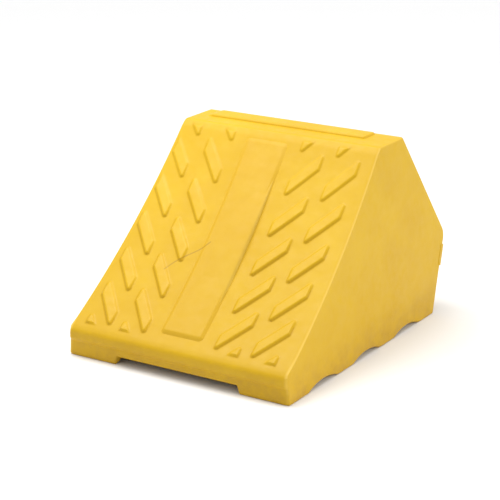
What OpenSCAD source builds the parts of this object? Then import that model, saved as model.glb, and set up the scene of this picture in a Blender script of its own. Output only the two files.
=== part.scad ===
// Heavy-duty moulded wheel chock: a hollow, open-bottomed wedge stiffened by a slotted rib frame.
// X is the width, +Y runs from the toe (tyre side) to the heel, +Z is up, the ground is z = 0.

/* [Body] */
// Width of the body at the ground
body_w = 304; // [280:4:320]
// Length of the body at the ground, toe to heel
base_len = 361; // [354:1:368]
// Height of the flat top ledge
body_h = 243; // [237:1:248]
// Distance from the toe to the front edge of the top ledge
ledge_front = 233; // [226:1:238]
// Distance from the toe to the back edge of the top ledge
ledge_back = 291; // [286:1:295]
// Distance from the toe to the corner where the two back faces meet
knuckle_y = 398; // [393:1:403]
// Height of that corner
knuckle_z = 98; // [94:1:102]
// How far each side leans inwards per millimetre of height
side_draft = 0.058; // [0.045:0.001:0.065]
// Wall thickness of the shell
wall = 12; // [11:0.5:13]

/* [Toe] */
// Height of the top of the toe lip
lip_h = 33; // [29:1:37]
// Height of the underside of the toe lip
lip_under = 19; // [16:1:21]
// How far the lip stands out over the front wall below it
lip_out = 3.5; // [2:0.5:4]
// Radius of the upright corners of the toe
toe_r = 5; // [3:1:10]

/* [Tread] */
// Depth of the hollow in the tread face, measured from its chord
tread_sag = 10.5; // [8:0.5:12]
// How far the lugs stand out of the tread face
lug_proud = 3; // [2:0.5:4]
// Distance between the first two rows of lugs, measured up the slope
lug_pitch = 51; // [49:0.5:53]
// How much further apart each next pair of rows is
lug_growth = 2; // [0:0.5:3]
// Length of a lug's short sides, which run up the slope
lug_short = 23; // [18:1:25]
// How far a lug runs outwards from its lower tip
lug_across = 33; // [28:1:35]
// How far a lug rises over that distance
lug_rise = 42; // [36:1:46]
// Distance from the middle of the tread to the lower tips of the inner lugs
lug_inner_x = 48; // [44:1:50]
// Distance from the middle of the tread to the lower tips of the outer lugs
lug_outer_x = 97; // [94:1:98]
// Height up the slope of the first full row's lower tips
lug_first = 14; // [11:0.5:18]
// How far the tread pattern leans to the left over the whole slope
pattern_lean = 10; // [0:1:12]

/* [Centre strip] */
// Width of the plain centre strip
strip_w = 58; // [50:1:62]
// How far the strip stands out of the tread face
strip_proud = 3; // [1.5:0.5:3.5]
// Depth of the pocket that the strip lies in
strip_deep = 5.5; // [4:0.5:6]

/* [Grips] */
// Length of the bar on the top ledge
bar_len = 227; // [200:1:236]
// Width of the bar, front to back
bar_w = 29; // [24:1:31]
// How far the bar stands out of the ledge
bar_proud = 2.5; // [1.5:0.5:3]
// Height of the lower edge of the strip on the back
back_strip_z = 57; // [54:1:62]
// Height of the strip on the back, measured along the back face
back_strip_h = 28; // [22:1:29]
// How far the back strip stands out of the back face
back_strip_proud = 0.6; // [0.4:0.1:1]
// Depth of the grooves that hold the top bar and the back strip
grip_deep = 6; // [4:0.5:7]

/* [Feet] */
// Half width of the arch in the front and back walls
end_arch_half = 85; // [70:1:95]
// Height of that arch
end_arch_h = 10; // [8:0.5:12]
// Width of each arch in the side walls
side_arch_w = 68; // [58:1:72]
// Height of each arch in the side walls
side_arch_h = 6.5; // [5:0.5:8]
// Distance from the toe to the middle of the first side arch
side_arch_y = 81; // [78:1:84]
// Distance between the side arches
side_arch_pitch = 104; // [100:1:106]

/* [Rib frame] */
// Thickness of the ribs
rib_t = 10; // [8:0.5:12]
// Distance of the left and right ribs from the middle
rib_x = 66; // [60:1:72]
// Distance from the toe to the front cross rib
rib_front_y = 96; // [90:1:102]
// Distance between the cross ribs
rib_pitch = 92; // [86:1:96]
// Depth of the grooves in the shell that hold the ribs
rib_groove = 4; // [3:0.5:5]
// Height of the ribs' lower edges above the ground, so that only the feet touch it
rib_lift = 12; // [11:0.5:16]

/* [Hidden] */
$fn = 64;

eps = 0.01;
arc_steps = 6;
far = 400;
slope_r = 8;
ledge_r = 4;
knuckle_r = 18;
lip_r = 8;
heel_r = 4;
arch_r = 5;
strip_r = 6;
bar_r = 2;
bar_ramp = 14;
bar_off_x = -10.5;

half_w = body_w / 2;
toe_top = [0, lip_h];
ledge_a = [ledge_front, body_h];
ledge_b = [ledge_back, body_h];
knuckle = [knuckle_y, knuckle_z];
heel = [base_len, 0];

// Unit vector, and the point that lies r inside both edges of the corner at c
function unit(v) = v / norm(v);
function half_angle(a, c, b) = acos(unit(a - c) * unit(b - c)) / 2;
function inside(a, c, b, r) = c + unit(unit(a - c) + unit(b - c)) * r / sin(half_angle(a, c, b));
function on_edge(a, c, b, r) = c + unit(a - c) * r / tan(half_angle(a, c, b));
function at_height(a, b, z) = a + (b - a) * (z - a[1]) / (b[1] - a[1]);
function before(p, i) = p[(i + len(p) - 1) % len(p)];
function after(p, i) = p[(i + 1) % len(p)];
function inset(p, d) = [for (i = [0:len(p) - 1]) inside(before(p, i), p[i], after(p, i), d)];

// Side outline of the body, as [y, z]
outline = [[0, 0], toe_top, ledge_a, ledge_b, knuckle, heel];
outline_r = [heel_r, lip_r, slope_r, ledge_r, knuckle_r, heel_r];

// Outline of the hollow: the walls run on below the ground, so that the bottom is open
deep = -60;
hollow_outline = [[lip_out, deep], [lip_out, lip_h], ledge_a, ledge_b, knuckle, at_height(knuckle, heel, deep)];

// The overall length ends where the knuckle's rounding is furthest back
total_len = inside(ledge_b, knuckle, heel, knuckle_r)[0] + knuckle_r;

// Tread face: a cylinder hollows it out between two points of its chord
slope_dir = unit(ledge_a - toe_top);
slope_out = [-slope_dir[1], slope_dir[0]];
slope_len = norm(ledge_a - toe_top);
slope_angle = atan2(slope_dir[1], slope_dir[0]);
arc_start = 8;
arc_end = slope_len - 10;
arc_chord = arc_end - arc_start;
tread_r = arc_chord * arc_chord / (8 * tread_sag) + tread_sag / 2;
tread_c = toe_top + slope_dir * (arc_start + arc_end) / 2 + slope_out * (tread_r - tread_sag);

pattern_x = -1;
lug_margin = 5;
pattern_base = 14;
pattern_top = slope_len - 8;
strip_start = 22;
strip_end = slope_len - 14;
bar_back = ledge_back - 4;
back_dir = unit(knuckle - heel);
back_angle = atan2(back_dir[1], back_dir[0]);

// Points along the arc of radius r that rounds the corner at c
function arc_turn(t) = t > 180 ? t - 360 : (t < -180 ? t + 360 : t);
function angle_of(v) = atan2(v[1], v[0]);
function corner_arc(a, c, b, r) =
    let (m = inside(a, c, b, r),
         from = angle_of(on_edge(a, c, b, r) - m),
         turn = arc_turn(angle_of(on_edge(b, c, a, r) - m) - from))
    [for (k = [0:arc_steps]) m + r * [cos(from + turn * k / arc_steps), sin(from + turn * k / arc_steps)]];

module rounded(p, r) {
    polygon([for (i = [0:len(p) - 1], q = corner_arc(before(p, i), p[i], after(p, i), r[i])) q]);
}

// Moves the drawing frame, which starts at the toe, to the middle of the overall length
module centred() {
    translate([0, -total_len / 2, 0]) children();
}

// Extrudes a [y, z] outline along X, centred
module along_x(length) {
    rotate([90, 0, 90]) linear_extrude(height = length, center = true) children();
}

// Extrudes an [x, slope distance] outline square to the tread's chord
module on_tread() {
    translate([0, toe_top[0], toe_top[1]]) rotate([slope_angle, 0, 0])
        linear_extrude(height = 80, center = true) children();
}

// Everything between the two drafted side planes, d inside them
module between_sides(d) {
    low = half_w - d - side_draft * deep;
    high = half_w - d - side_draft * 300;
    translate([0, far + 100, 0]) rotate([90, 0, 0]) linear_extrude(height = far + 200)
        polygon([[-low, deep], [low, deep], [high, 300], [-high, 300]]);
}

module tread_cylinder(r) {
    translate([0, tread_c[0], tread_c[1]]) rotate([0, 90, 0])
        cylinder(h = far, r = r, center = true, $fn = 360);
}

// The space inside walls of thickness d
module hollow(d) {
    difference() {
        intersection() {
            along_x(far) polygon(inset(hollow_outline, d));
            between_sides(d);
        }
        tread_cylinder(tread_r + d);
    }
}

// Points of the tread pattern, leaning with it
function pattern_point(x, s) = [pattern_x + x - pattern_lean * s / slope_len, s];

module lug_outline(side, x, s) {
    polygon([
        pattern_point(side * x, s),
        pattern_point(side * x, s + lug_short),
        pattern_point(side * (x + lug_across), s + lug_short + lug_rise),
        pattern_point(side * (x + lug_across), s + lug_rise)
    ]);
}

// Slope distance of a row's lower tips
function lug_row(i) = lug_first + i * lug_pitch + lug_growth * i * (i - 1) / 2;

// Rows of lugs, cut off level above the lip and below the ledge
module lug_rows() {
    intersection() {
        for (side = [-1, 1], x = [lug_inner_x, lug_outer_x], row = [-1:5])
            lug_outline(side, x, lug_row(row));
        translate([-half_w, pattern_base]) square([body_w, pattern_top - pattern_base]);
    }
}

module tread_skin(proud, deep) {
    difference() {
        tread_cylinder(tread_r + deep);
        tread_cylinder(tread_r - proud);
    }
}

module lugs() {
    intersection() {
        on_tread() lug_rows();
        tread_skin(lug_proud, 2);
        between_sides(lug_margin);
    }
}

module strip_body() {
    intersection() {
        on_tread() rounded([
            pattern_point(-strip_w / 2, strip_start),
            pattern_point(strip_w / 2, strip_start),
            pattern_point(strip_w / 2, strip_end),
            pattern_point(-strip_w / 2, strip_end)
        ], [strip_r, strip_r, strip_r, strip_r]);
        tread_skin(strip_proud, strip_deep);
    }
}

// The bar on the ledge: a let-in tongue with a rounded top and a ramp at its left end
module bar_body() {
    low = body_h - grip_deep;
    high = body_h + bar_proud;
    difference() {
        translate([bar_off_x, 0, 0]) along_x(bar_len) rounded([
            [bar_back - bar_w, low], [bar_back - bar_w, high], [bar_back, high], [bar_back, low]
        ], [bar_r / 2, bar_r, bar_r, bar_r / 2]);
        translate([bar_off_x - bar_len / 2, far, body_h]) rotate([90, 0, 0])
            linear_extrude(height = 2 * far)
            polygon([[-1, 0], [0, 0], [bar_ramp, bar_proud + eps], [bar_ramp, 10], [-1, 10]]);
    }
}

// The strip across the back, trimmed to the drafted sides
module back_strip_body() {
    start = back_strip_z / back_dir[1];
    intersection() {
        along_x(far) translate(heel) rotate(back_angle)
            translate([start, -back_strip_proud]) square([back_strip_h, grip_deep + back_strip_proud]);
        between_sides(0);
    }
}

module cross_slab(y) {
    translate([-half_w, y - rib_t / 2, rib_lift]) cube([body_w, rib_t, body_h]);
}

module long_slab(x) {
    translate([x - rib_t / 2, 0, rib_lift]) cube([rib_t, far, body_h]);
}

cross_ys = [for (i = [0:2]) rib_front_y + i * rib_pitch];

// Height at which the half-lap slots of crossing ribs meet
function hollow_top(y) = y < ledge_front
    ? tread_c[1] - sqrt(pow(tread_r + wall, 2) - pow(y - tread_c[0], 2))
    : body_h - wall;
function lap_z(y) = hollow_top(y) / 2;

module long_rib(x) {
    difference() {
        intersection() {
            hollow(wall - rib_groove);
            long_slab(x);
        }
        for (y = cross_ys) translate([x - rib_t, y - rib_t / 2, lap_z(y)]) cube([2 * rib_t, rib_t, body_h]);
    }
}

module cross_rib(y) {
    difference() {
        intersection() {
            hollow(wall - rib_groove);
            cross_slab(y);
        }
        for (x = [-rib_x, 0, rib_x]) translate([x - rib_t / 2, y - rib_t, 0]) cube([rib_t, 2 * rib_t, lap_z(y)]);
    }
}

// Outer form of the shell before it is hollowed
module outer() {
    intersection() {
        difference() {
            along_x(far) rounded(outline, outline_r);
            along_x(far) translate([-10, -10]) square([10 + lip_out, 10 + lip_under]);
            tread_cylinder(tread_r);
        }
        between_sides(0);
        translate([0, 0, -1]) linear_extrude(height = body_h + 2)
            rounded([[-half_w - 0.2, 0], [half_w + 0.2, 0], [half_w + 0.2, far], [-half_w - 0.2, far]],
                    [toe_r, toe_r, toe_r, toe_r]);
    }
}

// Arches that leave the feet standing: one across each end and three along each side
module foot_arches() {
    arch_rad = (pow(side_arch_w / 2, 2) + pow(side_arch_h, 2)) / (2 * side_arch_h);
    translate([0, far + 50, 0]) rotate([90, 0, 0]) linear_extrude(height = far + 100) rounded([
        [-end_arch_half, -20], [end_arch_half, -20], [end_arch_half, end_arch_h], [-end_arch_half, end_arch_h]
    ], [1, 1, arch_r, arch_r]);
    for (i = [0:2]) translate([0, side_arch_y + i * side_arch_pitch, side_arch_h - arch_rad])
        rotate([0, 90, 0]) cylinder(h = far, r = arch_rad, center = true, $fn = 180);
}

module shell() {
    color("gold") centred() difference() {
        union() {
            outer();
            lugs();
        }
        hollow(wall);
        intersection() {
            hollow(wall - rib_groove);
            union() {
                for (y = cross_ys) cross_slab(y);
                for (x = [-rib_x, 0, rib_x]) long_slab(x);
            }
        }
        foot_arches();
        strip_body();
        bar_body();
        back_strip_body();
    }
}

module centre_strip() {
    color("goldenrod") centred() strip_body();
}

module top_bar() {
    color("gold") centred() bar_body();
}

module back_strip() {
    color("gold") centred() back_strip_body();
}

module rib_left() {
    color("orange") centred() long_rib(-rib_x);
}

module rib_centre() {
    color("orange") centred() long_rib(0);
}

module rib_right() {
    color("orange") centred() long_rib(rib_x);
}

module rib_front() {
    color("darkorange") centred() cross_rib(cross_ys[0]);
}

module rib_middle() {
    color("darkorange") centred() cross_rib(cross_ys[1]);
}

module rib_rear() {
    color("darkorange") centred() cross_rib(cross_ys[2]);
}

shell();
centre_strip();
top_bar();
back_strip();
rib_left();
rib_centre();
rib_right();
rib_front();
rib_middle();
rib_rear();
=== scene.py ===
"""Looks of the moulded wheel chock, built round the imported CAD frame."""
import math

import bpy
import numpy as np
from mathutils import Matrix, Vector


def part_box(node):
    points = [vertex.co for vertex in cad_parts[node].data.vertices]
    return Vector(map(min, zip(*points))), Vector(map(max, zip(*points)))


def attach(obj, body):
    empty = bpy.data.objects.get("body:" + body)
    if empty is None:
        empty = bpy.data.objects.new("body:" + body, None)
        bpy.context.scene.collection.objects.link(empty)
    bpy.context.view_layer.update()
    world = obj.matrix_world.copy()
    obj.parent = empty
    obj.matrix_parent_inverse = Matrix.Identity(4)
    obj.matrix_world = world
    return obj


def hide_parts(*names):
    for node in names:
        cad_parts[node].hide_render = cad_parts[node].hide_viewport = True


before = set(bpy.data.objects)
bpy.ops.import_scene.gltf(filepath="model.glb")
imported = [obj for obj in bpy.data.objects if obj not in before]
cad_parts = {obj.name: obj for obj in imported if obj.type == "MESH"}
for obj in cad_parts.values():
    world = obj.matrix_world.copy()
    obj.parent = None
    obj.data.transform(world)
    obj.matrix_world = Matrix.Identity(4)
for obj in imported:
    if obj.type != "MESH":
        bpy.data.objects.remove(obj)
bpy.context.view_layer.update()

# ---------------------------------------------------------------- sizes, in millimetres
MM = 0.001
shell_low, shell_high = (np.array(corner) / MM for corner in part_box("shell"))
HALF_W = (shell_high[0] - shell_low[0]) / 2
TOTAL_LEN = shell_high[1] - shell_low[1]
LEDGE_Z = shell_high[2]

BASE_LEN = 361
LEDGE_FRONT = 233
LEDGE_BACK = 291
KNUCKLE = (398, 98)
SIDE_DRAFT = 0.058
WALL = 12
LIP_H = 33
LIP_UNDER = 19
LIP_RISE = 4
LIP_OUT = 3.5
LEG_TOP_FRONT = 15
LEG_TOP_BACK = 22

# Radii of the outside, from the toe over the top to the heel
TOE_R = 5
EDGE_R = 2.8
UNDER_R = 4
NOSE_R = 5
LIP_R = 9
BLEND_R = 34
BROW_R = 8
CREST_R = 4
KNUCKLE_R = 18
FOOT_R = 2.5

# Radii of the hollow
HOLLOW_TOE_R = 6
HOLLOW_BROW_R = 12
HOLLOW_CREST_R = 8
HOLLOW_KNUCKLE_R = 10
HOLLOW_EDGE_R = 4
INNER_FOOT_R = 1.5

TREAD_SAG = 10.5
ARC_START = 8
ARC_END_GAP = 10
LUG_PROUD = 3
LUG_PITCH = 51
LUG_GROWTH = 2
LUG_SHORT = 23
LUG_ACROSS = 33
LUG_RISE = 42
LUG_COLUMNS = (48, 97)
LUG_FIRST = 14
LUG_MARGIN = 6
LUG_TIP_R = 2.2
LUG_FLANK = (-1.6, 1.6)
LUG_FALL = 0.5
LUG_FADE = 0.4
FADE_START = 0.45
FADE_SPAN = 0.5
# Where and how wide the painted shade at the lugs' feet lies
FOOT_SHADE_AT = 0.9
FOOT_SHADE_WIDTH = 1.1
PATTERN_X = -1
PATTERN_LEAN = 10
PATTERN_BASE = 14
PATTERN_TOP_GAP = 8

STRIP_HALF_W = 29
STRIP_START = 22
STRIP_END_GAP = 14
STRIP_PROUD = 3
STRIP_FLANK = 4.2
STRIP_TOP_SHARE = 0.35
STRIP_FADE = 70

BAR_RAMP = 14
BAR_FLANK = 1.8
BAR_CORNER_R = 3.5

BACK_STRIP_Z = 57
BACK_STRIP_H = 28
BACK_STRIP_PROUD = 0.6
BACK_STRIP_SIDE = 0.5

END_ARCH = (85, 10)
END_ARCH_FLANK = 1.8
SIDE_ARCH = (68, 6.5)
SIDE_ARCH_Y = 81
SIDE_ARCH_PITCH = 104

# How finely the meshes are divided
TREAD_STEP = 1.2
FLAT_COLUMNS = 240
CORNER_COLUMNS = 8
SIDE_POINTS = 170
LEG_ROWS = 5
SHARP_ANGLE = 38

# How strong the painted highlight is along the rounded upright edges of the tread, the rest and the legs
TREAD_EDGE_HIGHLIGHT = 0.75
BODY_EDGE_HIGHLIGHT = 0.35
LEG_EDGE_HIGHLIGHT = 0.15


# ---------------------------------------------------------------- outline helpers
def unit(v):
    v = np.asarray(v, float)
    return v / np.linalg.norm(v)


def half_angle(a, c, b):
    return math.acos(np.clip(unit(a - c) @ unit(b - c), -1, 1)) / 2


def inside(a, c, b, r):
    """The point r inside both edges of the corner at c."""
    return c + unit(unit(a - c) + unit(b - c)) * r / math.sin(half_angle(a, c, b))


def fillet(a, c, b, r, steps):
    """Arc of radius r that rounds the corner at c between its neighbours a and b."""
    a, c, b = (np.asarray(p, float) for p in (a, c, b))
    reach = r / math.tan(half_angle(a, c, b))
    middle = inside(a, c, b, r)
    start = c + unit(a - c) * reach - middle
    end = c + unit(b - c) * reach - middle
    t0 = math.atan2(start[1], start[0])
    turn = (math.atan2(end[1], end[0]) - t0 + math.pi) % (2 * math.pi) - math.pi
    t = t0 + turn * np.linspace(0, 1, steps + 1)
    return middle + r * np.stack([np.cos(t), np.sin(t)], 1)


def line(a, b, step):
    """Points strictly between a and b, about step apart."""
    a, b = np.asarray(a, float), np.asarray(b, float)
    n = max(int(round(np.linalg.norm(b - a) / step)), 1)
    return a + np.linspace(0, 1, n + 1)[1:-1, None] * (b - a)


def join(*pieces):
    return np.concatenate([np.atleast_2d(p) for p in pieces if len(p)])


def along(a, b, z):
    """The point at height z on the line through a and b."""
    a, b = np.asarray(a, float), np.asarray(b, float)
    return a + (b - a) * (z - a[1]) / (b[1] - a[1])


def outward_normals(points):
    """Normals of an outline that runs from the toe, over the top, to the heel."""
    d = np.gradient(points, axis=0)
    d /= np.linalg.norm(d, axis=1)[:, None]
    return np.stack([-d[:, 1], d[:, 0]], 1)


# ---------------------------------------------------------------- the body's outlines
TOE_TOP = np.array([0.0, LIP_H])
LEDGE_A = np.array([LEDGE_FRONT, LEDGE_Z])
LEDGE_B = np.array([LEDGE_BACK, LEDGE_Z])
KNUCKLE = np.array(KNUCKLE, float)
HEEL = np.array([BASE_LEN, 0.0])
SLOPE = unit(LEDGE_A - TOE_TOP)
SLOPE_OUT = np.array([-SLOPE[1], SLOPE[0]])
SLOPE_LEN = np.linalg.norm(LEDGE_A - TOE_TOP)
ARC_END = SLOPE_LEN - ARC_END_GAP
ARC_R = (ARC_END - ARC_START) ** 2 / (8 * TREAD_SAG) + TREAD_SAG / 2
ARC_CENTRE = TOE_TOP + SLOPE * (ARC_START + ARC_END) / 2 + SLOPE_OUT * (ARC_R - TREAD_SAG)


def tread_arc(extra, step):
    """Points of the hollow face, or of a face extra inside it, from the lip to the ledge."""
    s = np.linspace(ARC_START, ARC_END, int((ARC_END - ARC_START) / step) + 1)
    across = s - (ARC_START + ARC_END) / 2
    drop = np.sqrt((ARC_R + extra) ** 2 - across**2)
    return ARC_CENTRE + across[:, None] * SLOPE - drop[:, None] * SLOPE_OUT


def outer_outline():
    """Outline of the outside, from the front wall to the lower back, without the legs."""
    wall_low = np.array([LIP_OUT, LEG_TOP_FRONT])
    under = np.array([LIP_OUT, LIP_UNDER])
    nose = np.array([0, LIP_UNDER + LIP_RISE])
    arc = tread_arc(0, TREAD_STEP)
    foot = fillet(TOE_TOP, arc[0], arc[2], BLEND_R, 4)
    head = fillet(arc[-3], arc[-1], LEDGE_A, BLEND_R, 4)
    lip = fillet(nose, TOE_TOP, arc[0], LIP_R, 8)
    brow = fillet(arc[-1], LEDGE_A, LEDGE_B, BROW_R, 8)
    crest = fillet(LEDGE_A, LEDGE_B, KNUCKLE, CREST_R, 6)
    corner = fillet(LEDGE_B, KNUCKLE, HEEL, KNUCKLE_R, 12)
    end = along(HEEL, KNUCKLE, LEG_TOP_BACK)
    return join(wall_low, fillet(wall_low, under, nose, UNDER_R, 5), fillet(under, nose, TOE_TOP, NOSE_R, 6),
                lip, foot, arc[3:-3], head, brow, line(brow[-1], crest[0], 6), crest,
                line(crest[-1], corner[0], 8), corner, line(corner[-1], end, 6), end)


def inner_outline():
    """Outline of the hollow under the walls, whose lines run on below the ground."""
    deep = -50.0
    front = np.array([LIP_OUT, LIP_H])
    low = np.array([LIP_OUT, deep])
    deep_heel = along(KNUCKLE, HEEL, deep)
    toe = inside(low, front, LEDGE_A, WALL)
    ledge_a = inside(front, LEDGE_A, LEDGE_B, WALL)
    ledge_b = inside(LEDGE_A, LEDGE_B, KNUCKLE, WALL)
    knuckle = inside(LEDGE_B, KNUCKLE, deep_heel, WALL)
    heel = inside(KNUCKLE, deep_heel, deep_heel - (60, 0), WALL)
    arc = tread_arc(WALL, 18)
    start = np.array([toe[0], LEG_TOP_FRONT])
    end = along(knuckle, heel, LEG_TOP_BACK)
    front_turn = fillet(start, toe, arc[0], HOLLOW_TOE_R, 6)
    brow = fillet(arc[-2], ledge_a, ledge_b, HOLLOW_BROW_R, 6)
    crest = fillet(ledge_a, ledge_b, knuckle, HOLLOW_CREST_R, 5)
    bend = fillet(ledge_b, knuckle, heel, HOLLOW_KNUCKLE_R, 6)
    return join(start, front_turn, arc[:-1], brow, crest, line(crest[-1], bend[0], 25), bend,
                line(bend[-1], end, 20), end)


def half_width(z):
    return HALF_W - SIDE_DRAFT * z


def smooth(t):
    t = np.clip(t, 0, 1)
    return t * t * (3 - 2 * t)


# ---------------------------------------------------------------- lugs, as a height over the tread
def pattern(x, s):
    """A point of the tread pattern, leaning with it."""
    return np.array([PATTERN_X + x - PATTERN_LEAN * s / SLOPE_LEN, s])


def lug_row(i):
    """Slope distance of a row's lower tips."""
    return LUG_FIRST + i * LUG_PITCH + LUG_GROWTH * i * (i - 1) / 2


def lug_corners(side, x, s):
    """Corners of one lug, drawn in by the radius of its tips."""
    corners = [(x, s), (x, s + LUG_SHORT), (x + LUG_ACROSS, s + LUG_SHORT + LUG_RISE),
               (x + LUG_ACROSS, s + LUG_RISE)]
    points = [pattern(side * a, b) for a, b in corners]
    return [inside(points[i - 1], points[i], points[(i + 1) % 4], LUG_TIP_R) for i in range(4)]


def polygon_distance(x, s, corners):
    """Signed distance to a polygon, negative inside it."""
    best = np.full(x.shape, 1e9)
    sign = np.ones(x.shape)
    for i, (ax, ay) in enumerate(corners):
        bx, by = corners[i - 1]
        ex, ey = bx - ax, by - ay
        wx, wy = x - ax, s - ay
        t = np.clip((wx * ex + wy * ey) / (ex * ex + ey * ey), 0, 1)
        best = np.minimum(best, (wx - ex * t) ** 2 + (wy - ey * t) ** 2)
        c1, c2, c3 = s >= ay, s < by, ex * wy > ey * wx
        sign = np.where((c1 & c2 & c3) | (~c1 & ~c2 & ~c3), -sign, sign)
    return sign * np.sqrt(best)


def lug_relief(x, s, z):
    """Height of the lugs' relief at slope distance s, and how much painted shade lies at its foot, strongest
    along the lower edges.
    """
    d = np.full(x.shape, 1e9)
    fall = np.zeros(x.shape)
    width = LUG_SHORT * LUG_ACROSS / math.hypot(LUG_ACROSS, LUG_RISE)
    for side in (-1, 1):
        for column in LUG_COLUMNS:
            for row in range(-1, 6):
                corners = lug_corners(side, column, lug_row(row))
                here = polygon_distance(x, s, corners) - LUG_TIP_R
                tip, slant = corners[0], corners[3] - corners[0]
                off_edge = (s - tip[1]) * slant[0] - (x - tip[0]) * slant[1]
                above = side * off_edge / np.linalg.norm(slant)
                fall = np.where(here < d, np.clip(above / width, 0, 1), fall)
                d = np.minimum(d, here)
    d = np.maximum(d, np.abs(x) - (half_width(z) - LUG_MARGIN))
    d = np.maximum(d, np.maximum(PATTERN_BASE - s, s - (SLOPE_LEN - PATTERN_TOP_GAP)))
    rise = (LUG_FLANK[1] - d) / (LUG_FLANK[1] - LUG_FLANK[0])
    fade = 1 - LUG_FADE * smooth((s / SLOPE_LEN - FADE_START) / FADE_SPAN)
    # Painted shade at the foot of each lug, strongest along its lower edge
    grime = np.exp(-((d - FOOT_SHADE_AT) / FOOT_SHADE_WIDTH) ** 2) * (1 - fall) * fade
    return LUG_PROUD * (1 - LUG_FALL * fall) * fade * smooth(rise), grime


# ---------------------------------------------------------------- mesh building
def to_frame(points):
    """Millimetres from the toe to metres in the row's frame."""
    p = np.array(points, float)
    p[..., 1] -= TOTAL_LEN / 2
    return p * MM


class Skin:
    """Collects vertices and faces of one mesh."""

    def __init__(self):
        self.verts = []
        self.faces = []
        self.count = 0

    def add(self, points):
        """Adds points and returns their numbers, in the same arrangement."""
        points = np.asarray(points, float)
        flat = points.reshape(-1, 3)
        self.verts.append(flat)
        index = np.arange(self.count, self.count + len(flat)).reshape(points.shape[:-1])
        self.count += len(flat)
        return index

    def grid(self, index, flip=False):
        """Quads over a sheet of points."""
        a, b, c, d = index[:-1, :-1], index[1:, :-1], index[1:, 1:], index[:-1, 1:]
        quads = np.stack([a, d, c, b] if flip else [a, b, c, d], -1).reshape(-1, 4)
        self.faces.extend(quads.tolist())

    def band(self, first, second, closed=True, flip=False):
        """Quads between two loops of the same length."""
        loops = np.stack([first, second])
        if closed:
            loops = np.concatenate([loops, loops[:, :1]], 1)
        self.grid(loops, flip)

    def cap(self, loop, flip=False):
        """One flat face."""
        loop = list(map(int, loop))
        self.faces.append(loop[::-1] if flip else loop)

    def build(self, name, **masks):
        """Makes the object; each mask is a strength per point, from the first point on."""
        mesh = bpy.data.meshes.new(name)
        mesh.from_pydata(to_frame(np.concatenate(self.verts)).tolist(), [], self.faces)
        for mask, strength in masks.items():
            values = np.zeros(self.count, np.float32)
            values[:strength.size] = strength.ravel()
            mesh.attributes.new(mask, "FLOAT", "POINT").data.foreach_set("value", values)
        mesh.validate()
        mesh.shade_smooth()
        mesh.set_sharp_from_angle(angle=math.radians(SHARP_ANGLE))
        piece = bpy.data.objects.new(name, mesh)
        bpy.context.collection.objects.link(piece)
        return piece


def end_arch(x):
    """Height of the arch in the front and back walls."""
    half, height = END_ARCH
    return height * smooth((half + END_ARCH_FLANK - np.abs(x)) / (2 * END_ARCH_FLANK))


def side_arch(y):
    """Height of the arches in the side walls."""
    width, height = SIDE_ARCH
    radius = ((width / 2) ** 2 + height**2) / (2 * height)
    z = np.zeros_like(y)
    for i in range(3):
        across = y - SIDE_ARCH_Y - i * SIDE_ARCH_PITCH
        rise = np.sqrt(np.maximum(radius**2 - across**2, 0)) - (radius - height)
        z = np.maximum(z, rise)
    return z


def columns():
    """Where each column of a wrapped surface lies: its share of the flat, and its turn round the edge."""
    turn = np.linspace(math.pi / 2, 0, CORNER_COLUMNS + 1)[:-1]
    edge = np.ones(CORNER_COLUMNS)
    share = np.concatenate([-edge, np.linspace(-1, 1, FLAT_COLUMNS + 1), edge])
    angle = np.concatenate([turn, np.zeros(FLAT_COLUMNS + 1), turn[::-1]])
    return share, angle


def half_ratio(z, z_ref, inset):
    return (half_width(z) - inset) / (half_width(z_ref) - inset)


def wrap(outline, shift, radius, inset, foot_r, lift=None):
    """Points of a surface wrapped over the body: rows along the outline, columns across the width."""
    share, angle = columns()
    yz = outline[:, None, :] + shift[:, None, :] * (1 - np.cos(angle))[None, :, None]
    flat = half_width(yz[..., 1]) - inset - radius[:, None]
    x = share * flat + np.sign(share) * radius[:, None] * np.sin(angle)
    if lift is not None:
        yz = yz + lift(x, yz[..., 1])
    main = np.stack([x, yz[..., 0], yz[..., 1]], -1)
    legs = []
    for row, above in ((0, 1), (-1, -2)):
        top = main[row]
        low = end_arch(top[:, 0]) + foot_r
        grow = outline[above] - outline[row]
        lean = grow[0] / grow[1]
        t = np.linspace(0, 1, LEG_ROWS + 1)[:-1, None]
        z = low + (top[:, 2] - low) * t
        dz = z - top[:, 2]
        y = top[:, 1] + lean * dz
        x_leg = top[:, 0] * half_ratio(z, top[:, 2], inset)
        leg = np.stack([x_leg, y, z], -1)
        legs.append(leg if row == 0 else leg[::-1])
    return np.concatenate([legs[0], main, legs[1]])


def side_base(front, back, foot_r, x_inset, side):
    """Lower edge of a side wall between its front and back corners, arches included."""
    t = np.linspace(0, 1, SIDE_POINTS + 2)[1:-1]
    y = front[1] + (back[1] - front[1]) * t
    z = side_arch(y) + foot_r
    return np.stack([side * (half_width(z) - x_inset), y, z], -1)


def side_cap(skin, loop_points, loop_index, flip):
    """Closes a side with a narrow support ring and one flat face."""
    yz = loop_points[:, 1:]
    d = np.roll(yz, -1, 0) - np.roll(yz, 1, 0)
    d /= np.maximum(np.linalg.norm(d, axis=1)[:, None], 1e-9)
    area = np.sum(yz[:, 0] * np.roll(yz[:, 1], -1) - np.roll(yz[:, 0], -1) * yz[:, 1])
    inward = np.stack([-d[:, 1], d[:, 0]], 1) * (1 if area > 0 else -1)
    ring = loop_points.copy()
    support = 0.8
    ring[:, 1:] += inward * support
    side = np.sign(loop_points[0, 0])
    offset = np.abs(loop_points[0, 0]) - half_width(loop_points[0, 2])
    ring[:, 0] = side * (half_width(ring[:, 2]) + offset)
    ring_index = skin.add(ring)
    skin.band(loop_index, ring_index, flip=flip)
    skin.cap(ring_index, flip=flip)


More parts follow.
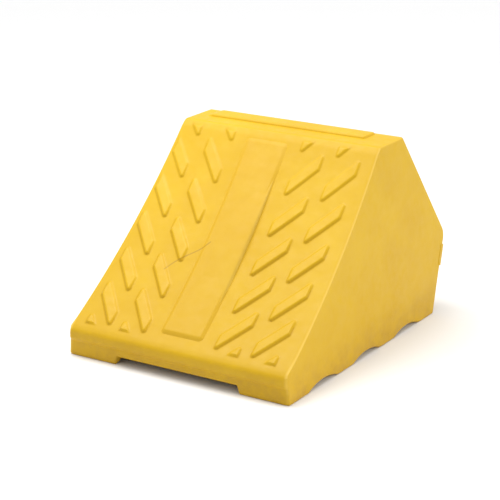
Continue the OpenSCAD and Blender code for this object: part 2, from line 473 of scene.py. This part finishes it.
def walls(skin, outline, shift, radius, inset, foot_r, inner, lift=None):
    """One closed surface of the body, inside or outside, and its lower edge as one loop."""
    surface = wrap(outline, shift, radius, inset, foot_r, lift)
    index = skin.add(surface)
    skin.grid(index, flip=not inner)
    edges = {}
    for side, column in ((-1, 0), (1, -1)):
        base = side_base(surface[0, column], surface[-1, column], foot_r, inset, side)
        base_index = skin.add(base)
        edges[side] = (base, base_index)
        loop = np.concatenate([surface[:, column], base[::-1]])
        loop_index = np.concatenate([index[:, column], base_index[::-1]])
        side_cap(skin, loop, loop_index, flip=(side > 0) != inner)
    loop = np.concatenate([surface[0], edges[1][0], surface[-1][::-1], edges[-1][0][::-1]])
    loop_index = np.concatenate([index[0], edges[1][1], index[-1][::-1], edges[-1][1][::-1]])
    return loop, loop_index


def make_shell():
    """The whole moulded body: outside, hollow, and the rounded soles between them."""
    skin = Skin()
    outline = outer_outline()
    normal = outward_normals(outline)
    s = (outline - TOE_TOP) @ SLOPE
    on_tread = (outline[:, 1] > LIP_H) & (s < SLOPE_LEN) & (outline[:, 0] < LEDGE_FRONT)
    front = (outline[:, 1] <= LIP_H + 2) & (outline[:, 0] < 20)
    blend = np.where(front, 0.0, np.where(on_tread, smooth(s / 30), 1.0))[:, None]
    toe_shift = np.stack([TOE_R - np.minimum(outline[:, 0], LIP_OUT), np.zeros(len(outline))], 1)
    shift = (1 - blend) * toe_shift + blend * -normal * EDGE_R
    radius = (1 - blend[:, 0]) * TOE_R + blend[:, 0] * EDGE_R

    relief = {}

    def lift(x, z):
        rows = np.where(on_tread & (s > 0), 1.0, 0.0)[:, None]
        height, grime = lug_relief(x, np.broadcast_to(s[:, None], x.shape), z)
        relief["grime"] = grime * rows
        return (height * rows)[..., None] * normal[:, None, :]

    outer, outer_index = walls(skin, outline, shift, radius, 0, FOOT_R, inner=False, lift=lift)
    leg = np.full(LEG_ROWS, LEG_EDGE_HIGHLIGHT)
    # Painted highlight along the rounded edges, strongest halfway round each edge
    strength = np.concatenate([leg, np.where(on_tread, TREAD_EDGE_HIGHLIGHT, BODY_EDGE_HIGHLIGHT), leg])
    wear = strength[:, None] * np.sin(2 * columns()[1])[None, :] ** 2
    grime = np.pad(relief["grime"], ((LEG_ROWS, LEG_ROWS), (0, 0)))
    hollow = inner_outline()
    inner_radius = np.full(len(hollow), float(HOLLOW_EDGE_R))
    inner_shift = -outward_normals(hollow) * HOLLOW_EDGE_R
    inner, inner_index = walls(skin, hollow, inner_shift, inner_radius, WALL, INNER_FOOT_R, inner=True)
    inward = inner[:, :2] - outer[:, :2]
    inward /= np.linalg.norm(inward, axis=1)[:, None]
    last = outer_index
    for points, way, r in ((outer, 1, FOOT_R), (inner, -1, INNER_FOOT_R)):
        turns = np.radians([30, 60, 90]) if way > 0 else np.radians([90, 45])
        for turn in turns:
            ring = points.copy()
            ring[:, :2] += way * inward * r * (1 - math.cos(turn))
            ring[:, 2] -= r * math.sin(turn)
            index = skin.add(ring)
            skin.band(last, index)
            last = index
    skin.band(last, inner_index)
    return skin.build("chock_shell", wear=wear, grime=grime)


# ---------------------------------------------------------------- let-in pads: strip and grips
def pad_ring(half_x, half_y, r, n_x, n_y, corner_steps=5):
    """A rounded rectangle as four sides that meet in the middle of its corners."""
    def corner(cx, cy, start):
        t = np.radians(np.linspace(start, start + 90, 2 * corner_steps + 1))
        return np.stack([cx + r * np.cos(t), cy + r * np.sin(t)], 1)

    x, y = half_x - r, half_y - r
    arcs = [corner(-x, -y, 180), corner(x, -y, 270), corner(x, y, 0), corner(-x, y, 90)]
    sides = []
    for i, n in enumerate((n_x, n_y, n_x, n_y)):
        a, b = arcs[i], arcs[(i + 1) % 4]
        straight = a[-1] + np.linspace(0, 1, n + 1)[1:-1, None] * (b[0] - a[-1])
        sides.append(np.concatenate([a[corner_steps:], straight, b[:corner_steps + 1]]))
    return sides


def coons(sides):
    """Fills four sides, given as an anticlockwise loop, with an even grid."""
    bottom, right, top, left = sides[0], sides[1], sides[2][::-1], sides[3][::-1]
    u = np.linspace(0, 1, len(bottom))[None, :, None]
    v = np.linspace(0, 1, len(right))[:, None, None]
    across = (1 - v) * bottom[None] + v * top[None]
    up = (1 - u) * left[:, None] + u * right[:, None]
    mix = ((1 - u) * (1 - v) * bottom[0] + u * (1 - v) * bottom[-1] + (1 - u) * v * top[0] + u * v * top[-1])
    return across + up - mix


def make_pad(name, half_x, half_y, corner_r, edge_r, proud, depth, n_x, n_y, place, flank=0.0):
    """A plate with rounded corners and a rounded rim; place(x, y, height) puts it on the body."""
    skin = Skin()
    if flank:
        edge_r = flank + 0.8
        profile = [(0.0, -depth), (0.0, 0.0), (flank * 0.75, proud * 0.78), (flank, proud * 0.94)]
        profile += [(edge_r, proud)]
    else:
        profile = [(0.0, -depth), (0.0, proud - edge_r)]
        profile += [(edge_r * (1 - math.cos(t)), proud - edge_r * (1 - math.sin(t)))
                    for t in np.radians([22, 45, 68, 90])]
    last = None
    for inset, height in profile:
        sides = pad_ring(half_x - inset, half_y - inset, corner_r - inset, n_x, n_y)
        loop = np.concatenate([side[:-1] for side in sides])
        index = skin.add(place(loop[:, 0], loop[:, 1], np.full(len(loop), height)))
        if last is None:
            skin.cap(index, flip=True)
        else:
            skin.band(last, index, flip=True)
        last = index
    inset = edge_r + 1.2
    sides = pad_ring(half_x - inset, half_y - inset, max(corner_r - inset, 0.4), n_x, n_y)
    grid = coons(sides)
    index = skin.add(place(grid[..., 0], grid[..., 1], np.full(grid.shape[:2], proud)))
    skin.grid(index, flip=True)
    border = np.concatenate([index[0, :-1], index[:-1, -1], index[-1, :0:-1], index[:0:-1, 0]])
    skin.band(last, border, flip=True)
    return skin.build(name)


def tread_frame():
    """Slope distance, points and normals of the plain tread, for interpolation."""
    arc = join(TOE_TOP, tread_arc(0, 2.0), LEDGE_A)
    return (arc - TOE_TOP) @ SLOPE, arc, outward_normals(arc)


def make_centre_strip():
    """The plain strip, bent to the hollow tread; it gets lower towards its top end."""
    s_table, arc, normal = tread_frame()
    low, high = STRIP_START, SLOPE_LEN - STRIP_END_GAP

    def place(x, y, height):
        s = (low + high) / 2 + y
        x = PATTERN_X + x - PATTERN_LEAN * s / SLOPE_LEN
        share = STRIP_TOP_SHARE + (1 - STRIP_TOP_SHARE) * smooth((high - s) / STRIP_FADE)
        height = np.where(height > 0, height * share, height)
        py = np.interp(s, s_table, arc[:, 0]) + height * np.interp(s, s_table, normal[:, 0])
        pz = np.interp(s, s_table, arc[:, 1]) + height * np.interp(s, s_table, normal[:, 1])
        return np.stack([x, py, pz], -1)

    return make_pad("strip_plate", STRIP_HALF_W, (high - low) / 2, corner_r=6, edge_r=1.3, proud=STRIP_PROUD,
                    depth=4, n_x=26, n_y=130, place=place, flank=STRIP_FLANK)


def make_top_bar():
    """The bar on the ledge, which rises from nothing at its left end."""
    low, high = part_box("top_bar")
    x_mid, half_x = (high.x + low.x) / 2 / MM, (high.x - low.x) / 2 / MM
    y_mid, half_y = (high.y + low.y) / 2 / MM + TOTAL_LEN / 2, (high.y - low.y) / 2 / MM
    proud = high.z / MM - LEDGE_Z

    def place(x, y, height):
        rise = smooth((x + half_x + 2) / BAR_RAMP)
        height = np.where(height > 0, height * rise - 0.4 * (1 - rise), height)
        return np.stack([x_mid + x, y_mid + y, LEDGE_Z + height], -1)

    return make_pad("ledge_bar", half_x, half_y, corner_r=BAR_CORNER_R, edge_r=1.4, proud=proud,
                    depth=4, n_x=110, n_y=12, place=place, flank=BAR_FLANK)


def make_back_strip():
    """The band let into the lower back, from side to side."""
    up = unit(KNUCKLE - HEEL)
    out = np.array([up[1], -up[0]])

    def place(x, y, height):
        v = BACK_STRIP_Z / up[1] + BACK_STRIP_H / 2 + y
        yz = HEEL + v[..., None] * up + height[..., None] * out
        wide = half_width(yz[..., 1]) + BACK_STRIP_SIDE
        return np.stack([x / HALF_W * wide, yz[..., 0], yz[..., 1]], -1)

    return make_pad("heel_strip", HALF_W, BACK_STRIP_H / 2, corner_r=1.5, edge_r=0.5, proud=BACK_STRIP_PROUD,
                    depth=6, n_x=120, n_y=10, place=place)


def make_rib(node):
    """A rib of the frame with its edges rounded, from the node's own shape."""
    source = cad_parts[node]
    mesh = source.data.copy()
    mesh.materials.clear()
    piece = bpy.data.objects.new("ribbing_" + node.split("_")[1], mesh)
    bpy.context.collection.objects.link(piece)
    weld = piece.modifiers.new("weld", "WELD")
    weld.merge_threshold = 1e-5
    flat = piece.modifiers.new("flat", "DECIMATE")
    flat.decimate_type = "DISSOLVE"
    flat.angle_limit = math.radians(1)
    bevel = piece.modifiers.new("bevel", "BEVEL")
    bevel.width = 1.6 * MM
    bevel.segments = 3
    bevel.limit_method = "ANGLE"
    bevel.angle_limit = math.radians(35)
    bpy.context.view_layer.update()
    shaped = bpy.data.meshes.new_from_object(piece.evaluated_get(bpy.context.evaluated_depsgraph_get()))
    piece.modifiers.clear()
    piece.data = shaped
    shaped.shade_smooth()
    shaped.set_sharp_from_angle(angle=math.radians(SHARP_ANGLE))
    return piece


# ---------------------------------------------------------------- materials
SCUFF_START = (-0.0694, 0.0985)
SCUFF_END = (-0.0256, 0.1303)
SCUFF_BOW = 0.0012
SCUFF_HALF_W = 0.0011
SCUFF_STRENGTH = 0.55
SCUFF_TONE = (0.24, 0.12, 0.015)
# Lighter tone of the painted highlight on the rounded edges
EDGE_HIGHLIGHT_TONE = (0.78, 0.52, 0.10)
# Darker tone of the painted shade at the lugs' feet
FOOT_SHADE_TONE = (0.34, 0.17, 0.006)
# Darker tone laid in patches near the ground
GROUND_PATCH_TONE = (0.30, 0.155, 0.04)
# Tone of the painted shade that darkens the body towards the bottom
LOW_SHADE_TONE = (0.50, 0.285, 0.003)


def scuff_mask(nodes, links, split):
    """One long scuff across the left lugs and the edge of the strip, in metres of x and z."""
    length = math.dist(SCUFF_START, SCUFF_END)
    run, climb = (SCUFF_END[0] - SCUFF_START[0]) / length, (SCUFF_END[1] - SCUFF_START[1]) / length

    def calc(operation, *values):
        node = nodes.new("ShaderNodeMath")
        node.operation = operation
        for socket, value in zip(node.inputs, values):
            if isinstance(value, (int, float)):
                socket.default_value = value
            else:
                links.new(value, socket)
        return node.outputs[0]

    x = calc("SUBTRACT", split.outputs["X"], SCUFF_START[0])
    z = calc("SUBTRACT", split.outputs["Z"], SCUFF_START[1])
    along_line = calc("ADD", calc("MULTIPLY", x, run), calc("MULTIPLY", z, climb))
    across = calc("SUBTRACT", calc("MULTIPLY", x, climb), calc("MULTIPLY", z, run))
    bow = calc("MULTIPLY", calc("SINE", calc("MULTIPLY", along_line, 2 * math.pi / length)), SCUFF_BOW)
    off_line = calc("ABSOLUTE", calc("ADD", across, bow))
    mark = calc("MAXIMUM", calc("SUBTRACT", 1, calc("DIVIDE", off_line, SCUFF_HALF_W)), 0)
    middle = calc("ABSOLUTE", calc("SUBTRACT", calc("DIVIDE", along_line, length), 0.5))
    between_ends = calc("LESS_THAN", middle, 0.5)
    front = calc("LESS_THAN", split.outputs["Y"], 0.05)
    return calc("MULTIPLY", calc("MULTIPLY", mark, between_ends), calc("MULTIPLY", front, SCUFF_STRENGTH))


def moulded(name, colour, shade, bright, roughness, grain):
    """Satin moulded polyurethane: mottled colour, uneven gloss, fine grain, a painted highlight along the
    rounded edges, painted shade at the lugs' feet and towards the bottom, and patchy darkening near the
    ground.
    """
    material = bpy.data.materials.new(name)
    material.use_nodes = True
    nodes, links = material.node_tree.nodes, material.node_tree.links
    shader = nodes["Principled BSDF"]
    shader.inputs["IOR"].default_value = 1.48
    shader.inputs["Specular IOR Level"].default_value = 0.25
    place = nodes.new("ShaderNodeTexCoord").outputs["Object"]

    def noise(scale, detail, rough=0.55):
        node = nodes.new("ShaderNodeTexNoise")
        node.inputs["Scale"].default_value = scale
        node.inputs["Detail"].default_value = detail
        node.inputs["Roughness"].default_value = rough
        links.new(place, node.inputs["Vector"])
        return node.outputs["Fac"]

    def span(value, low, high, to_low, to_high):
        node = nodes.new("ShaderNodeMapRange")
        for key, number in (("From Min", low), ("From Max", high), ("To Min", to_low), ("To Max", to_high)):
            node.inputs[key].default_value = number
        links.new(value, node.inputs["Value"])
        return node.outputs["Result"]

    def mix(factor, a, b):
        node = nodes.new("ShaderNodeMix")
        node.data_type = "RGBA"
        links.new(factor, node.inputs["Factor"])
        for socket, value in (("A", a), ("B", b)):
            if isinstance(value, tuple):
                node.inputs[socket].default_value = (*value, 1)
            else:
                links.new(value, node.inputs[socket])
        return node.outputs["Result"]

    def attribute(mask):
        node = nodes.new("ShaderNodeAttribute")
        node.attribute_name = mask
        return node.outputs["Fac"]

    tone = mix(span(noise(7, 3), 0.35, 0.65, 0, 1), shade, colour)
    tone = mix(span(noise(26, 4), 0.45, 0.75, 0, 0.55), tone, bright)
    split = nodes.new("ShaderNodeSeparateXYZ")
    links.new(place, split.inputs["Vector"])
    # Darker in patches near the ground
    near_ground = span(split.outputs["Z"], 0.0, 0.045, 0.65, 0)
    patchy = nodes.new("ShaderNodeMath")
    patchy.operation = "MULTIPLY"
    links.new(near_ground, patchy.inputs[0])
    links.new(span(noise(55, 5, 0.7), 0.4, 0.7, 0.1, 1), patchy.inputs[1])
    tone = mix(patchy.outputs[0], tone, GROUND_PATCH_TONE)
    # Painted shade: darker towards the bottom
    tone = mix(span(split.outputs["Z"], 0.0, 0.16, 0.4, 0), tone, LOW_SHADE_TONE)
    # Painted highlight along the rounded edges
    tone = mix(attribute("wear"), tone, EDGE_HIGHLIGHT_TONE)
    # Painted shade at the lugs' feet
    tone = mix(span(attribute("grime"), 0, 1, 0, 0.4), tone, FOOT_SHADE_TONE)
    tone = mix(scuff_mask(nodes, links, split), tone, SCUFF_TONE)
    links.new(tone, shader.inputs["Base Color"])
    links.new(span(noise(90, 5, 0.6), 0.3, 0.7, roughness - 0.07, roughness + 0.1), shader.inputs["Roughness"])

    fine = nodes.new("ShaderNodeBump")
    fine.inputs["Strength"].default_value = 0.55
    fine.inputs["Distance"].default_value = grain
    links.new(noise(1500, 3, 0.6), fine.inputs["Height"])
    broad = nodes.new("ShaderNodeBump")
    broad.inputs["Strength"].default_value = 0.5
    broad.inputs["Distance"].default_value = 0.0012
    links.new(noise(38, 2, 0.5), broad.inputs["Height"])
    links.new(fine.outputs["Normal"], broad.inputs["Normal"])
    links.new(broad.outputs["Normal"], shader.inputs["Normal"])
    return material


# ---------------------------------------------------------------- stage
def make_floor():
    mesh = bpy.data.meshes.new("floor")
    far = 20.0
    mesh.from_pydata([(-far, -far, 0), (far, -far, 0), (far, far, 0), (-far, far, 0)], [], [(0, 1, 2, 3)])
    floor = bpy.data.objects.new("floor", mesh)
    bpy.context.collection.objects.link(floor)
    material = bpy.data.materials.new("pale_floor")
    material.use_nodes = True
    shader = material.node_tree.nodes["Principled BSDF"]
    shader.inputs["Base Color"].default_value = (0.86, 0.86, 0.86, 1)
    shader.inputs["Roughness"].default_value = 0.9
    shader.inputs["Specular IOR Level"].default_value = 0.1
    mesh.materials.append(material)


def lamp(name, kind, toward, energy, spread, place=(0, 0, 0)):
    """A lamp that shines along toward; spread is a sun's angle in degrees or a disk's width."""
    data = bpy.data.lights.new(name, kind)
    data.energy = energy
    if kind == "SUN":
        data.angle = math.radians(spread)
    else:
        data.shape = "DISK"
        data.size = spread
    light = bpy.data.objects.new(name, data)
    light.location = place
    light.rotation_mode = "QUATERNION"
    light.rotation_quaternion = Vector(toward).to_track_quat("-Z", "Y")
    bpy.context.collection.objects.link(light)


def make_lights():
    """An even white surround, a soft panel overhead, and a fill from behind on the right."""
    world = bpy.data.worlds.new("studio")
    bpy.context.scene.world = world
    world.use_nodes = True
    background = world.node_tree.nodes["Background"]
    background.inputs["Color"].default_value = (1, 1, 1, 1)
    background.inputs["Strength"].default_value = 0.74
    lamp("sky_panel", "SUN", (0.03, -0.1, -0.99), 0.9, 35)
    lamp("overhead", "AREA", (0.3, 0.1, -1), 9.6, 0.9, (-0.38, -0.12, 1.15))
    lamp("side_fill", "SUN", (-0.9, -0.36, -0.22), 1.4, 50)


def make_camera():
    """Camera at the product view's angle: a long lens, turned to the toe and the right side."""
    azimuth, elevation = math.radians(32.08), math.radians(18.18)
    data = bpy.data.cameras.new("camera")
    data.sensor_width = 36
    data.lens = 126.66
    data.shift_x = 0.0100
    data.shift_y = 0.0155
    camera = bpy.data.objects.new("camera", data)
    distance = 2.1073
    target = Vector((0, (154 - TOTAL_LEN / 2) * MM, 0.105))
    back = Vector((math.sin(azimuth) * math.cos(elevation), -math.cos(azimuth) * math.cos(elevation),
                   math.sin(elevation)))
    camera.location = target + back * distance
    camera.rotation_mode = "QUATERNION"
    camera.rotation_quaternion = (-back).to_track_quat("-Z", "Y")
    bpy.context.collection.objects.link(camera)
    bpy.context.scene.camera = camera


# ---------------------------------------------------------------- assembly
def fit(piece, node, material):
    """Dresses a piece and makes it stand for its node."""
    piece.data.materials.clear()
    piece.data.materials.append(material)
    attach(piece, "root")
    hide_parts(node)


bpy.context.scene.view_settings.view_transform = "Standard"
make_camera()
make_lights()
make_floor()

body_yellow = moulded("shell_polyurethane", (0.62, 0.382, 0.006), (0.59, 0.354, 0.005),
                      (0.65, 0.414, 0.012), roughness=0.42, grain=0.00012)
strip_yellow = moulded("strip_polyurethane", (0.61, 0.376, 0.020), (0.59, 0.352, 0.016),
                       (0.63, 0.40, 0.028), roughness=0.5, grain=0.00008)
rib_yellow = moulded("rib_polyurethane", (0.56, 0.31, 0.02), (0.51, 0.275, 0.016),
                     (0.60, 0.34, 0.026), roughness=0.58, grain=0.00015)

fit(make_shell(), "shell", body_yellow)
fit(make_centre_strip(), "centre_strip", strip_yellow)
fit(make_top_bar(), "top_bar", body_yellow)
fit(make_back_strip(), "back_strip", body_yellow)
for rib in ("rib_left", "rib_centre", "rib_right", "rib_front", "rib_middle", "rib_rear"):
    fit(make_rib(rib), rib, rib_yellow)
